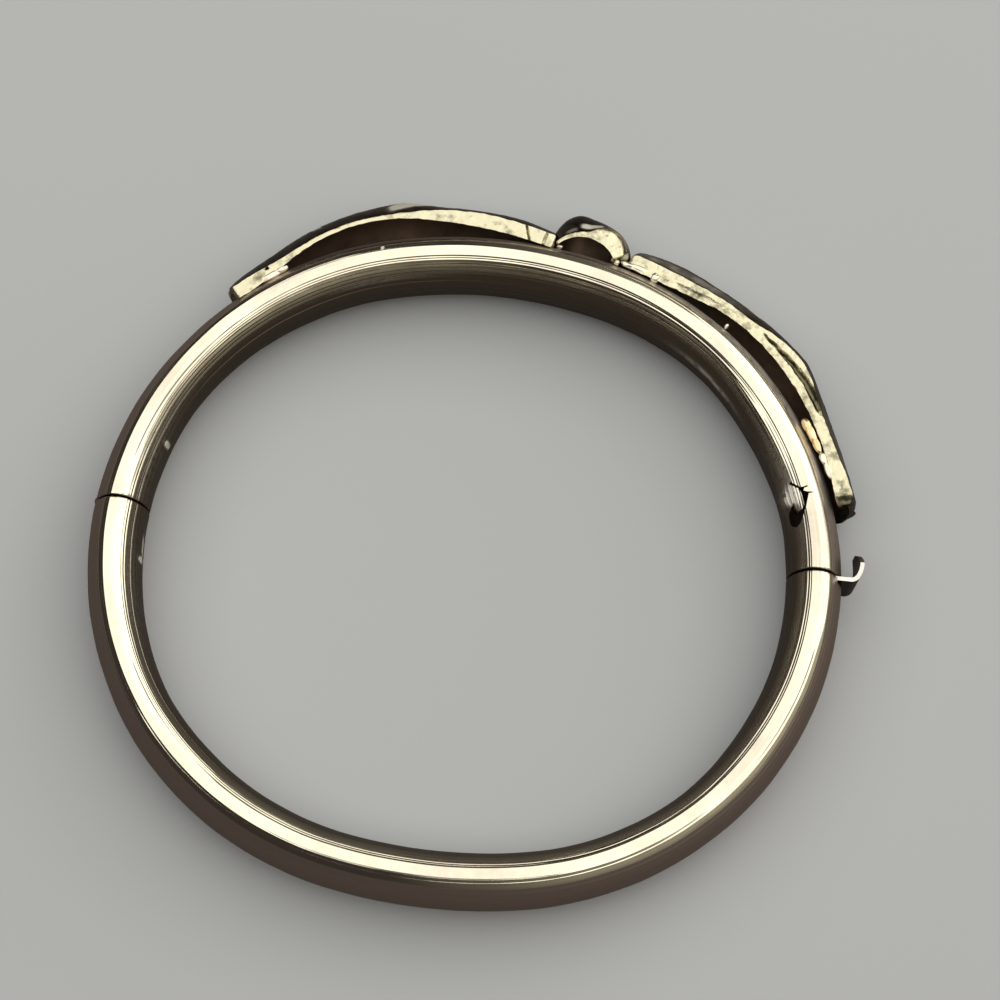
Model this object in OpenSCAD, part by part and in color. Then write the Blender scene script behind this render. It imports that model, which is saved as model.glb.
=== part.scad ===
// Hinged oval bangle of hollow tube, lying on its side.
// The oval's centre is the origin, X runs from the hinge to the clasp, the ornament
// faces +Y, and the tube's lowest ridge rests at Z = 0. All sizes are in millimetres.

/* [Band] */
// Length of the oval between the tube's centre lines at hinge and clasp
band_length = 62; // [59:0.5:66]
// Depth of the front curve, from the widest line to the tube's centre line
front_depth = 28.8; // [28.2:0.1:29.6]
// Turn of each end curve of the front half, in degrees
front_turn = 75.5; // [74:0.5:77]
// Depth of the back curve, from the widest line to the tube's centre line
back_depth = 28.1; // [27.6:0.1:28.8]
// Turn of each end curve of the back half, in degrees
back_turn = 79; // [77:0.5:80]
// How far in front of the widest line the two seams lie
seam_y = 1.9; // [1.5:0.1:2.4]
// Width of the closed seams
seam_gap = 0.12; // [0.08:0.02:0.2]

/* [Tube] */
// Height of the tube's oval section, which is the bangle's height as it lies
tube_height = 7.9; // [7.6:0.1:8.4]
// Thickness of the tube's oval section
tube_thickness = 4.82; // [4.6:0.02:5]
// Turn of the section's tight top and bottom curves, each way from upright
section_turn = 50; // [48:1:54]
// Wall of the hollow tube
wall = 0.4; // [0.3:0.05:0.45]

/* [Hinge] */
// Angle the front half swings open
opening_angle = 60; // [30:5:60]
// Depth of the hinge pin's centre below the tube's outer wall
hinge_inset = 0.62; // [0.6:0.01:0.66]
// Radius of the hinge barrel
barrel_r = 0.55; // [0.5:0.01:0.56]
// Length of the hinge barrel
barrel_length = 3; // [2.6:0.1:3]
// Length of the middle knuckle
middle_knuckle = 1.1; // [0.9:0.1:1.2]
// Radius of the hinge pin
pin_r = 0.25; // [0.2:0.01:0.27]
// Length of the hinge plug inside the front half
front_plug = 7.4; // [6.8:0.1:8]
// Length of the hinge plug inside the back half
back_plug = 5.8; // [5.4:0.1:6.4]
// Radial clearance of plugs, barrel and pin
clearance = 0.06; // [0.05:0.01:0.08]

/* [Clasp] */
// Length of the clasp plug inside the back half
clasp_plug = 5; // [4:0.5:6]
// Thickness of the folded spring leaves
leaf = 0.35; // [0.3:0.01:0.36]
// Height of the folded spring leaves
leaf_height = 3.4; // [3:0.1:3.5]
// Reach of the spring into the front half, to the centre of its fold
leaf_reach = 5; // [4.6:0.1:5.2]
// Radius of the spring's fold
fold_r = 0.4; // [0.38:0.01:0.42]
// Height of the thumb tab
tab_height = 4.8; // [4.4:0.1:5]
// Travel of the thumb tab when pressed, in degrees
press_angle = 4; // [2:0.5:4]
// Thickness of the slotted catch plate
plate = 0.5; // [0.4:0.05:0.6]

/* [Ornament] */
// Height of the domed strip that the ornament is stamped from
ornament_height = 6; // [5.6:0.1:6.2]
// How far the left leaf's middle stands out beyond its edges
left_dome = 1.95; // [1.85:0.05:2.05]
// How far the right leaf's middle stands out beyond its edges
right_dome = 0.9; // [0.8:0.1:1.2]
// How far the knob's middle stands out beyond its edges
knob_dome = 2.6; // [2.4:0.1:2.7]
// Thickness of the thin sheet of the left leaf and the knob
thin_sheet = 0.24; // [0.22:0.02:0.3]
// Thickness of the heavy end of the left leaf
thick_sheet = 0.56; // [0.5:0.02:0.6]
// Thickness of each of the right leaf's two sheets, and of the air between them
double_sheet = 0.4; // [0.35:0.01:0.42]
// Radius of the central knob's rim
knob_r = 3.4; // [3.2:0.1:3.6]
// Radius of the solder post under the right leaf
post_r = 0.45; // [0.35:0.05:0.5]

/* [Hidden] */
$fn = 64;

half_length = band_length / 2;
mid = tube_height / 2;
half_gap = seam_gap / 2;
far = 60;

// How far neighbouring stretches of a sweep run into each other, and by how much they differ
arc_lap = 0.2;
proud = 0.01;
overlap = 0.2;
hair = 0.02;

// An oval of four tangent arcs: radius of its two end arcs, then of its two side arcs
function end_radius(long, short, turn) =
    let (k = (1 - sin(turn)) / cos(turn)) (short - long * k) / (1 - k);
function side_radius(long, short, turn) =
    let (r = end_radius(long, short, turn)) r + (long - r) / cos(turn);

front_end_r = end_radius(half_length, front_depth, front_turn);
front_side_r = side_radius(half_length, front_depth, front_turn);
back_end_r = end_radius(half_length, back_depth, back_turn);
back_side_r = side_radius(half_length, back_depth, back_turn);

// Tube's centre line and outer wall at the seams, measured along X
seam_x = half_length - front_end_r + sqrt(pow(front_end_r, 2) - pow(seam_y, 2));
outer_x = seam_x + tube_thickness / 2;

hinge_x = hinge_inset - outer_x;
pin_fit = 0.03;
knuckle_gap = 0.04;
// Each half is bevelled outside the pin, so that the two clear each other when open
spare_angle = 3;
relief_angle = opening_angle / 2 + spare_angle;
relief_reach = 3;
// Punch marks that hold the hinge plugs, on the tube's inner wall
crimp_r = 0.5;
front_crimp = [-27.1, 7.95, mid + 1.35];
back_crimp = [-28.08, -2.79, mid];

// Point over the front half, at a turn round the band and an offset from its centre line
function front_centre(turn) =
    abs(turn - 90) < 90 - front_turn
        ? [0, front_depth - front_side_r] + front_side_r * [cos(turn), sin(turn)]
        : [sign(cos(turn)) * (half_length - front_end_r), 0] + front_end_r * [cos(turn), sin(turn)];
function on_front(turn, offset) = front_centre(turn) + offset * [cos(turn), sin(turn)];

// Section of the tube, outwards along X and upwards along Y, shrunk by an inset
module tube_section(inset) {
    tip_r = end_radius(mid, tube_thickness / 2, section_turn);
    cheek_r = side_radius(mid, tube_thickness / 2, section_turn);
    tip_y = mid - tip_r;
    for (side = [-1, 1]) translate([0, side * tip_y]) circle(r = tip_r - inset);
    intersection() {
        translate([cheek_r - tube_thickness / 2, 0]) circle(r = cheek_r - inset);
        translate([tube_thickness / 2 - cheek_r, 0]) circle(r = cheek_r - inset);
        square([tube_thickness * 2, 2 * (tip_y + (tip_r - inset) * cos(section_turn))], center = true);
    }
}

// Sweeps the section round the three arcs of one half, and by extra degrees past the widest line.
// The long side arc laps over the end arcs and stands a little proud of them.
module sweep_half(depth, turn, end_r, side_r, extra, inset) {
    translate([0, depth - side_r, mid])
        rotate_extrude(angle = 180 - 2 * turn + 2 * arc_lap, start = turn - arc_lap)
            translate([side_r, 0]) tube_section(inset - proud);
    for (side = [0, 1]) mirror([side, 0, 0]) translate([end_r - half_length, 0, mid])
        rotate_extrude(angle = turn + extra, start = 180 - turn)
            translate([end_r, 0]) tube_section(inset);
}

module front_tube(inset) {
    sweep_half(front_depth, front_turn, front_end_r, front_side_r, 0, inset);
}

// The back half reaches past the widest line, up to the seams in front of it
past_widest = 8;

module back_tube(inset) {
    mirror([0, 1, 0])
        sweep_half(back_depth, back_turn, back_end_r, back_side_r, past_widest, inset);
}

// Everything from y_low to y_high, on one side of the middle (-1 hinge, 1 clasp) or both (0)
module slab(y_low, y_high, side = 0) {
    translate([side > 0 ? 0 : -far, y_low, -1])
        cube([side == 0 ? 2 * far : far, y_high - y_low, tube_height + 2]);
}

// Bevel outside the hinge pin; side is 1 in front, -1 behind
module relief_wedge(side) {
    rise = side * relief_reach * tan(relief_angle);
    translate([hinge_x, seam_y, -1]) linear_extrude(tube_height + 2)
        polygon([[0, 0], [-relief_reach, 0], [-relief_reach, rise]]);
}

// Stretch of the hinge barrel between two heights over the tube's middle
module barrel_stretch(low, high, grow = 0) {
    translate([hinge_x, seam_y, mid + low]) cylinder(r = barrel_r + grow, h = high - low);
}

// Lets the whole barrel and the open halves' outer walls past
module hinge_relief(side) {
    barrel_stretch(-barrel_length / 2 - clearance, barrel_length / 2 + clearance, clearance);
    relief_wedge(side);
}

module crimp(place) {
    translate(place) sphere(r = crimp_r);
}

// Lays sections along a chain of stretches that starts at the origin and heads along X.
// Each stretch begins a little inside the one before, whose section is a hair larger or smaller.
// Stretch rows: radius (0 is straight, below 0 bends to the left), turn or length, section
module chain(rows, i = 0) {
    row = rows[i];
    back = i == 0 ? 0 : row[0] == 0 ? overlap : overlap / abs(row[0]) * 180 / PI;
    if (row[0] == 0)
        translate([-back, 0, 0]) rotate([90, 0, 90]) linear_extrude(row[1] + back) children(row[2]);
    if (row[0] > 0)
        translate([0, -row[0], 0]) rotate_extrude(angle = row[1] + back, start = 90 - row[1])
            translate([row[0], 0]) children(row[2]);
    if (row[0] < 0)
        translate([0, -row[0], 0]) rotate_extrude(angle = row[1] + back, start = 270 - back)
            translate([-row[0], 0]) mirror([1, 0]) children(row[2]);
    if (i < len(rows) - 1)
        translate([row[0] == 0 ? row[1] : 0, -row[0], 0])
            rotate([0, 0, row[0] == 0 ? 0 : -sign(row[0]) * row[1]])
                translate([0, row[0], 0]) chain(rows, i + 1) {
                    children(0);
                    children(1);
                    children(2);
                }
}

// Disc whose right-hand arc is the strip's dome, grown by the thickness outside it
module dome_disc(rise, thickness) {
    r = (pow(ornament_height / 2, 2) + pow(rise, 2)) / (2 * rise);
    translate([rise - r, 0]) circle(r = r + thickness);
}

module dome_slice(depth) {
    translate([-depth, -ornament_height / 2]) square(ornament_height);
}

// Sections of the domed strip: one sheet, two sheets with air between, and filled with solder.
// Each reaches in past the tube's outer wall, the sheet by its edges and the filling all over.
edge_depth = 0.6;
filling_depth = 1.1;

module one_sheet(rise, low, high) {
    intersection() {
        difference() {
            dome_disc(rise, high);
            dome_disc(rise, low);
        }
        dome_slice(edge_depth);
    }
}

module two_sheets(rise, thickness, grow) {
    one_sheet(rise, -grow, thickness + grow);
    one_sheet(rise, 2 * thickness - grow, 3 * thickness + grow);
}

module filled(rise, thickness) {
    intersection() {
        dome_disc(rise, thickness);
        dome_slice(filling_depth);
    }
}

// Start of a leaf or knob: turn round the band, offset from its centre line, lean off the band
module ornament_strip(start, rows) {
    foot = on_front(start[0], start[1]);
    translate([foot[0], foot[1], mid]) rotate([0, 0, start[0] - 90 + start[2]]) chain(rows) {
        children(0);
        children(1);
        children(2);
    }
}

left_leaf_start = [132.6, 1.47, -2.5];
left_leaf_rows = [[-30.6, 10.5, 2], [15.6, 48.4, 0], [35.8, 16, 1], [35.8, 3.4, 2]];
right_leaf_start = [73.9, 1.45, -0.6];
right_leaf_rows = [[0, 4.4, 2], [0, 4.1, 0], [11.5, 27.6, 1], [30, 18.4, 0], [30.3, 16.1, 2]];
knob_start = [83, 1.3, 64];
knob_turn = 124;
// Turn from the knob's foot to its middle, and how far its hollow strip stands out at the most
knob_half_turn = 5.2;
knob_reach = 8;

module left_leaf() {
    ornament_strip(left_leaf_start, left_leaf_rows) {
        one_sheet(left_dome, 0, thin_sheet);
        one_sheet(left_dome, -hair, thick_sheet - hair);
        filled(left_dome, thick_sheet);
    }
}

module right_leaf() {
    ornament_strip(right_leaf_start, right_leaf_rows) {
        two_sheets(right_dome, double_sheet, 0);
        two_sheets(right_dome, double_sheet, hair);
        filled(right_dome, 3 * double_sheet + 2 * hair);
    }
}

// The knob is a hollow arch, whose flanks are cut off upright
module knob() {
    turn = knob_start[0] - knob_half_turn;
    middle = on_front(turn, knob_start[1]);
    half_width = knob_r + 0.2;
    depth = 2;
    intersection() {
        ornament_strip(knob_start, [[knob_r, knob_turn, 0]]) one_sheet(knob_dome, 0, thin_sheet);
        translate([middle[0], middle[1], 0]) rotate([0, 0, turn - 90])
            translate([-half_width, -depth, 0])
                cube([2 * half_width, depth + knob_reach, tube_height]);
    }
}

// Blob of solder that holds the right leaf up off the band
module post() {
    turn = 52.5;
    depth = 1.5;
    height = 2.3;
    length = 1.95;
    foot = on_front(turn, depth);
    translate([foot[0], foot[1], mid + height])
        rotate([0, 90, turn]) cylinder(r = post_r, h = length);
}

module ornament() {
    left_leaf();
    right_leaf();
    knob();
    post();
}

// The tear near the clasp, a jagged slit round a lifted flap and the hole below it.
// Rows: turn round the band, offset from its centre line
tear_rows = [
    [21.15, -1.2], [20.1, -0.8], [19.4, -0.55], [19.5, -0.1], [19.2, 0.05], [18.85, -0.35],
    [18.05, 0.6], [17.75, 0.05], [17.45, -0.12], [15.85, -0.5], [14.55, -0.83], [13.1, -1.15],
    [12.55, -1.53], [13.95, -1.9], [15.75, -1.88], [17.2, -1.43], [15.3, -1.19], [15.85, -0.66],
    [17.7, -0.72], [18.9, -0.68], [20.9, -1.32]
];

module tear() {
    translate([0, 0, mid + 1]) linear_extrude(tube_height)
        polygon([for (row = tear_rows) on_front(row[0], row[1])]);
}

// Hollow front half, open at both ends, with the ornament soldered to its outer wall
module front_half() {
    color([0.86, 0.8, 0.6]) difference() {
        union() {
            front_tube(0);
            ornament();
        }
        front_tube(wall);
        slab(-far, seam_y + half_gap);
        hinge_relief(1);
        tear();
        crimp(front_crimp);
    }
}

// Hollow back half, notched at the clasp for the thumb tab
module back_half() {
    color([0.86, 0.8, 0.6]) difference() {
        intersection() {
            difference() {
                back_tube(0);
                back_tube(wall);
            }
            slab(-far, seam_y - half_gap);
        }
        hinge_relief(-1);
        tab_notch();
        crimp(back_crimp);
    }
}

// Plugs pressed into the tubes' ends at the hinge, which carry the knuckles
module front_plug_body() {
    difference() {
        intersection() {
            front_tube(wall + clearance);
            slab(seam_y + half_gap, seam_y + front_plug, -1);
        }
        relief_wedge(1);
        barrel_stretch(-barrel_length / 2 - clearance, -middle_knuckle / 2, clearance);
        barrel_stretch(middle_knuckle / 2, barrel_length / 2 + clearance, clearance);
        crimp(front_crimp);
    }
}

module back_plug_body() {
    difference() {
        intersection() {
            back_tube(wall + clearance);
            slab(seam_y - back_plug, seam_y - half_gap, -1);
        }
        relief_wedge(-1);
        barrel_stretch(-middle_knuckle / 2 - knuckle_gap, middle_knuckle / 2 + knuckle_gap, clearance);
        crimp(back_crimp);
    }
}

module pin_hole() {
    translate([hinge_x, seam_y, mid - tube_height])
        cylinder(r = pin_r + pin_fit, h = 2 * tube_height);
}

module hinge_plug_front() {
    color([0.7, 0.62, 0.42]) difference() {
        union() {
            front_plug_body();
            barrel_stretch(-middle_knuckle / 2, middle_knuckle / 2);
        }
        pin_hole();
    }
}

module hinge_plug_back() {
    color([0.7, 0.62, 0.42]) difference() {
        union() {
            back_plug_body();
            barrel_stretch(-barrel_length / 2, -middle_knuckle / 2 - knuckle_gap);
            barrel_stretch(middle_knuckle / 2 + knuckle_gap, barrel_length / 2);
        }
        pin_hole();
    }
}

module hinge_pin() {
    color([0.6, 0.6, 0.58]) translate([hinge_x, seam_y, mid - barrel_length / 2])
        cylinder(r = pin_r, h = barrel_length);
}

// Places and sizes of the clasp's spring, from the seam's middle: the fixed leaf, the fold that
// joins the two leaves, and the thumb leaf, which passes the seam at the root of its tab
fixed_leaf_x = seam_x - 1.25;
leaf_root = 0.6;
fold_x = seam_x - 0.7;
fold_y = seam_y + leaf_reach;
tab_thickness = 0.36;
tab_root_x = seam_x + 0.9;
tab_y = seam_y - tab_thickness / 2;
// Gap between the two leaves at the fold, and round the catch plate
spring_fit = 0.05;

// Plate that closes the front half at the clasp, with the slot that the spring enters
slot_low_x = fixed_leaf_x - 0.1;
slot_high_x = tab_root_x + 0.25;
slot_height = leaf_height + 0.3;

module catch_plate() {
    color([0.7, 0.62, 0.42]) difference() {
        intersection() {
            front_tube(wall + spring_fit);
            slab(seam_y + half_gap, seam_y + half_gap + plate, 1);
        }
        translate([slot_low_x, seam_y - 1, mid - slot_height / 2])
            cube([slot_high_x - slot_low_x, plate + 2, slot_height]);
    }
}

// Room for the thumb tab and its travel, through the back half's wall and plug
module tab_notch() {
    spare = 0.1;
    inner_x = seam_x + 0.2;
    depth = tab_thickness + (outer_x - fold_x) * sin(press_angle) + spare;
    translate([inner_x, seam_y - depth, mid - tab_height / 2 - clearance])
        cube([tube_thickness, depth + 1, tab_height + 2 * clearance]);
}

// Plug in the back half at the clasp, with the spring's fixed leaf and its fold
module clasp_tongue() {
    color([0.72, 0.66, 0.48]) {
        difference() {
            intersection() {
                back_tube(wall + clearance);
                slab(seam_y - clasp_plug, seam_y - half_gap, 1);
            }
            tab_notch();
        }
        translate([fixed_leaf_x, seam_y - leaf_root, mid - leaf_height / 2])
            cube([leaf, leaf_reach + leaf_root, leaf_height]);
        translate([fold_x, fold_y, mid - leaf_height / 2]) cylinder(r = fold_r, h = leaf_height);
    }
}

// Section of a bent strip, centred on its path: thickness across it, height upwards
module strip(thickness, height) {
    square([thickness, height], center = true);
}

// Straight leaf from the fold to the seam, then the tab, which stands out straight and curls back
leaf_heading = atan2(tab_y - fold_y, tab_root_x - fold_x);
leaf_length = norm([tab_root_x - fold_x, tab_y - fold_y]);
tab_stand = 0.6;
tab_straight = outer_x + tab_stand - tab_root_x + leaf / 2;
tab_rows = [[0, tab_straight, 0], [-0.7, 60, 1], [-2.4, 62, 0]];
tab_round_r = 3.1;
tab_round_y = seam_y - 0.46;

module thumb_leaf() {
    color([0.8, 0.75, 0.58]) {
        difference() {
            translate([fold_x, fold_y, mid]) rotate([0, 0, leaf_heading])
                chain([[0, leaf_length, 0]]) strip(leaf, leaf_height);
            translate([fold_x, fold_y, -1])
                cylinder(r = fold_r + spring_fit, h = tube_height + 2);
        }
        intersection() {
            translate([tab_root_x - leaf / 2, tab_y, mid])
                chain(tab_rows) {
                    strip(tab_thickness, tab_height);
                    strip(tab_thickness + hair, tab_height);
                }
            translate([seam_x, tab_round_y, mid]) rotate([0, 90, 0])
                cylinder(r = tab_round_r, h = 2 * tube_thickness);
        }
    }
}

front_half();
back_half();
hinge_plug_front();
hinge_plug_back();
hinge_pin();
catch_plate();
clasp_tongue();
thumb_leaf();
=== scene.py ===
import math

import bmesh
import bpy
import numpy as np
from mathutils import Matrix, Vector, noise


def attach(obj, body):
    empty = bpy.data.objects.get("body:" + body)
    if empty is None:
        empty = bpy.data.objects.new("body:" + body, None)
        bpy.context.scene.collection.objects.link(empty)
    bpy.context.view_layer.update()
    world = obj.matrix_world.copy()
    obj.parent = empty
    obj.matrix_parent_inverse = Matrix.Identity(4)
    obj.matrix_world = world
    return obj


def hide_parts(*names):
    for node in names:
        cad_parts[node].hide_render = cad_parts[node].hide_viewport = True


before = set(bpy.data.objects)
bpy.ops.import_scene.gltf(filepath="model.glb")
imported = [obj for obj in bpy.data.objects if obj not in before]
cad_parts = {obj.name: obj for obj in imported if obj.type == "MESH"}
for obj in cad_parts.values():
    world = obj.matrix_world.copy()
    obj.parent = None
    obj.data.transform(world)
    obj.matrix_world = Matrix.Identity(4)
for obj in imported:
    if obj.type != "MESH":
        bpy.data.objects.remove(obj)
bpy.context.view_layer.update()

# ---- Camera ----
# A long lens that looks down on the bangle at 72 degrees, turned a little, as it was
# photographed. Places are in metres, in the part's own frame.
camera = bpy.data.objects.new("camera", bpy.data.cameras.new("camera"))
bpy.context.scene.collection.objects.link(camera)
bpy.context.scene.camera = camera
camera.data.lens = 90
camera.data.sensor_width = 36
camera.data.clip_start = 0.01
camera_place = Vector((0.007112, -0.06266, 0.217039))
camera_target = Vector((0.002462, 0.006416, 0.003962))
camera_right = Vector((0.9943, 0.1057, 0.0126))
camera_back = (camera_place - camera_target).normalized()
camera_up = camera_back.cross(camera_right).normalized()
camera_right = camera_up.cross(camera_back)
camera.matrix_world = Matrix.Translation(camera_place) @ Matrix(
    (camera_right, camera_up, camera_back)
).transposed().to_4x4()


# ---- Floor and light ----
# A plain pale floor, a wide soft light overhead and a lower one at the clasp's side. Polished
# metal shows what lies round it, so in reflections the floor is a darker plain grey.
def linear(hex_colour):
    """An sRGB hex colour as the linear colour that a shader takes."""
    parts = [int(hex_colour[i:i + 2], 16) / 255 for i in (1, 3, 5)]
    return [p / 12.92 if p <= 0.04045 else ((p + 0.055) / 1.055) ** 2.4 for p in parts] + [1]


def add(tree, kind, inputs=None, **settings):
    """Adds a node with its settings, and its inputs as values or as links from other nodes."""
    made = tree.nodes.new(kind)
    for name, value in settings.items():
        setattr(made, name, value)
    for name, value in (inputs or {}).items():
        if isinstance(value, bpy.types.NodeSocket):
            tree.links.new(value, made.inputs[name])
        else:
            made.inputs[name].default_value = value
    return made


def empty_material(name):
    """A material whose node tree holds nothing yet."""
    material = bpy.data.materials.new(name)
    material.use_nodes = True
    material.node_tree.nodes.clear()
    return material


# Metres. The floor lies a hair below the bangle, so that no two faces share one place
floor_size = 3
floor_z = -0.00002
floor_mesh = bpy.data.meshes.new("floor")
floor_mesh.from_pydata(
    [(x * floor_size / 2, y * floor_size / 2, floor_z) for x, y in ((-1, -1), (1, -1), (1, 1), (-1, 1))],
    [], [(0, 1, 2, 3)],
)
floor = bpy.data.objects.new("floor", floor_mesh)
bpy.context.scene.collection.objects.link(floor)

# Matt painted board: no shine of its own, pale to look at and darker where metal reflects it.
pale_floor = empty_material("pale_floor")
tree = pale_floor.node_tree
floor_shown = add(tree, "ShaderNodeBsdfDiffuse", {"Color": linear("#ABADB1")})
floor_reflected = add(tree, "ShaderNodeBsdfDiffuse", {"Color": linear("#5C5856")})
ray = add(tree, "ShaderNodeLightPath")
seen = add(tree, "ShaderNodeMixShader", {
    0: ray.outputs["Is Glossy Ray"], 1: floor_shown.outputs[0], 2: floor_reflected.outputs[0]})
add(tree, "ShaderNodeOutputMaterial", {"Surface": seen.outputs[0]})
floor_mesh.materials.append(pale_floor)

panel_tint = "#FFFDF4"


def soft_panel(name, place, size, brightness, aimed):
    """A rectangular soft light, in metres. It shines straight down, or at the bangle if aimed."""
    panel = bpy.data.lights.new(name, "AREA")
    panel.shape = "RECTANGLE"
    panel.size, panel.size_y = size
    panel.energy = brightness * math.pi * size[0] * size[1]
    panel.color = linear(panel_tint)[:3]
    light = bpy.data.objects.new(name, panel)
    light.location = place
    if aimed:
        light.rotation_euler = (-Vector(place)).to_track_quat("-Z", "Y").to_euler()
    bpy.context.scene.collection.objects.link(light)


soft_panel("soft_light", place=(0, 0.3, 0.6), size=(1.6, 1.32), brightness=1.5, aimed=False)
soft_panel("clasp_side_light", place=(0.71, 0.55, 0.4), size=(1, 0.5), brightness=1.4, aimed=True)

# The studio's walls, as the metal reflects them: dark at the hinge's side, pale at the clasp's.
# Behind the bangle the camera sees a plain pale backdrop.
studio = bpy.data.worlds.new("studio")
studio.use_nodes = True
tree = studio.node_tree
tree.nodes.clear()
direction = add(tree, "ShaderNodeTexCoord")
side = add(tree, "ShaderNodeSeparateXYZ", {"Vector": direction.outputs["Generated"]})
clasp_side_share = add(tree, "ShaderNodeMapRange", {
    "Value": side.outputs["X"], "From Min": -0.1, "From Max": 0.9})
room = add(tree, "ShaderNodeMixRGB", {
    "Fac": clasp_side_share.outputs[0], "Color1": linear("#3A3533"), "Color2": linear("#B5B0A0")})
ray = add(tree, "ShaderNodeLightPath")
backdrop = add(tree, "ShaderNodeMixRGB", {
    "Fac": ray.outputs["Is Camera Ray"], "Color1": room.outputs[0], "Color2": linear("#B9B7B3")})
air = add(tree, "ShaderNodeBackground", {"Color": backdrop.outputs[0]})
add(tree, "ShaderNodeOutputWorld", {"Surface": air.outputs[0]})
bpy.context.scene.world = studio
bpy.context.scene.view_settings.view_transform = "Standard"

# ---- Band, both halves ----
# Two halves of one oval hoop, of thin gilt brass tube that was drawn through an oval die and
# bent round a former. Drawing leaves fine lines along the whole length, and wear a soft shine.
# From here on sizes are in millimetres, which mm turns into metres, and angles in degrees.
mm = 0.001
half_length = 31
seam_y = 1.9
half_gap = 0.06
tube_height = 7.9
tube_thickness = 4.82
wall = 0.4
rounded_edge = 0.2
mid = tube_height / 2
# How far the section's small arcs reach to each side of its top and bottom
section_turn = 50
# How finely the mesh is made: points round the tube, rows along each wall, rows on a rounded edge
points_round = 128
row_step = 0.2
inner_rows = 90
edge_arc = (0, 22, 45, 67, 90)
crease_angle = 35


def arc_radii(long, short, turn):
    """Radii of the end arcs and the side arcs of an oval made of four tangent arcs."""
    turn = math.radians(turn)
    k = (1 - math.sin(turn)) / math.cos(turn)
    end = (short - long * k) / (1 - k)
    return end, end + (long - end) / math.cos(turn)


class Half:
    """Centre line of one half of the band: how deep it is, how far its end arcs turn, and
    facing, which is 1 in front and -1 behind."""

    def __init__(self, depth, turn, facing):
        self.depth, self.turn, self.facing = depth, turn, facing
        self.end_r, self.side_r = arc_radii(half_length, depth, turn)
        self.seam = facing * seam_y + half_gap

    def place(self, turn, offset):
        """Plan point at a turn round the band (0 at the clasp) and an offset outwards."""
        turn, offset = np.broadcast_arrays(np.asarray(turn, float), np.asarray(offset, float))
        c, s = np.cos(np.radians(turn)), np.sin(np.radians(turn))
        on_side = np.abs(turn - 90) < 90 - self.turn
        x = np.where(on_side, self.side_r * c, np.sign(c) * (half_length - self.end_r) + self.end_r * c)
        y = np.where(on_side, self.depth - self.side_r + self.side_r * s, self.end_r * s)
        return np.stack([x + offset * c, self.facing * (y + offset * s)], -1)

    def seam_turn(self, offset):
        """Turn at which the tube's wall, at this offset, meets the seam."""
        return np.degrees(np.arcsin(self.seam / (self.end_r + offset)))


front = Half(depth=28.8, turn=75.5, facing=1)
back = Half(depth=28.1, turn=79, facing=-1)
tip_r, cheek_r = arc_radii(mid, tube_thickness / 2, section_turn)


def section(angle, inset):
    """Offset and height of the tube's wall where it faces angle: 0 outwards, 90 up, 180 inwards."""
    angle = np.asarray(angle, float)
    c, s = np.cos(np.radians(angle)), np.sin(np.radians(angle))
    on_tip = np.abs(s) > math.sin(math.radians(90 - section_turn))
    offset = np.where(on_tip, (tip_r - inset) * c,
                      np.sign(c) * (tube_thickness / 2 - cheek_r) + (cheek_r - inset) * c)
    height = np.where(on_tip, np.sign(s) * (mid - tip_r) + (tip_r - inset) * s, (cheek_r - inset) * s)
    return offset, height


def way_round(angles):
    """How far round the wall each of these angles lies from the first of them."""
    return np.concatenate([[0], np.cumsum(np.hypot(*np.diff(np.stack(section(angles, 0)), axis=1)))])


def even_angles(count):
    """Facing angles, from the bottom round, that space points evenly over the section."""
    fine = np.linspace(-90, 270, 4001)
    run = way_round(fine)
    return np.interp(np.arange(count) / count * run[-1], run, fine)


def bump_at(turn, angle, spot):
    """A soft round swelling: spot is its turn, angle, width along and round (degrees), and height."""
    middle_turn, middle_angle, along, around, height = spot
    return height * np.exp(-((turn - middle_turn) / along) ** 2 - ((angle - middle_angle) / around) ** 2)


# Waves that bending leaves in the wall: height, then how often they come along the band and
# round the section, and where they start
bending_waves = [(0.018, 7.3, 0.6, 0), (0.012, 17, -1, 0), (0.006, 41, 2.1, 50)]


def hand_worn(turn, angle):
    """How far the bent and worn wall stands out from a true oval."""
    return sum(height * np.sin(np.radians(turn * along + angle * around + start))
               for height, along, around, start in bending_waves)


# How far round the section from the middle of its inner side a dent is whole, and where it ends
dent_whole = 35
dent_end = 120


def pressed_in(turn, angle, place):
    """A long shallow dent in the inner wall: place is its turn, half length in degrees, and depth."""
    middle_turn, half_run, depth = place
    share = np.clip((dent_end - np.abs(angle - 180)) / (dent_end - dent_whole), 0, 1)
    return -depth * np.exp(-((turn - middle_turn) / half_run) ** 2) * share ** 2 * (3 - 2 * share)


def new_piece(name, points, faces, materials, face_slots=None, tube_mm=None, marks=None,
              smooth_angle=crease_angle):
    """An object from points in millimetres. tube_mm gives each point's place on the drawn wall,
    and marks the share of each point, by name, in what its material shows there."""
    mesh = bpy.data.meshes.new(name)
    mesh.from_pydata((np.asarray(points, float) * mm).tolist(), [], faces)
    for material in materials:
        mesh.materials.append(material)
    if face_slots is not None:
        mesh.polygons.foreach_set("material_index", np.asarray(face_slots, np.int32))
    if tube_mm is not None:
        corners = np.zeros(len(mesh.loops), np.int32)
        mesh.loops.foreach_get("vertex_index", corners)
        layer = mesh.uv_layers.new(name="tube_mm")
        layer.uv.foreach_set("vector", np.asarray(tube_mm, float)[corners].ravel())
    for mark, shares in (marks or {}).items():
        layer = mesh.attributes.new(mark, "FLOAT", "POINT")
        layer.data.foreach_set("value", np.asarray(shares, float).ravel())
    mesh.shade_smooth()
    mesh.set_sharp_from_angle(angle=math.radians(smooth_angle))
    mesh.validate()
    piece = bpy.data.objects.new(name, mesh)
    bpy.context.scene.collection.objects.link(piece)
    return piece


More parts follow.
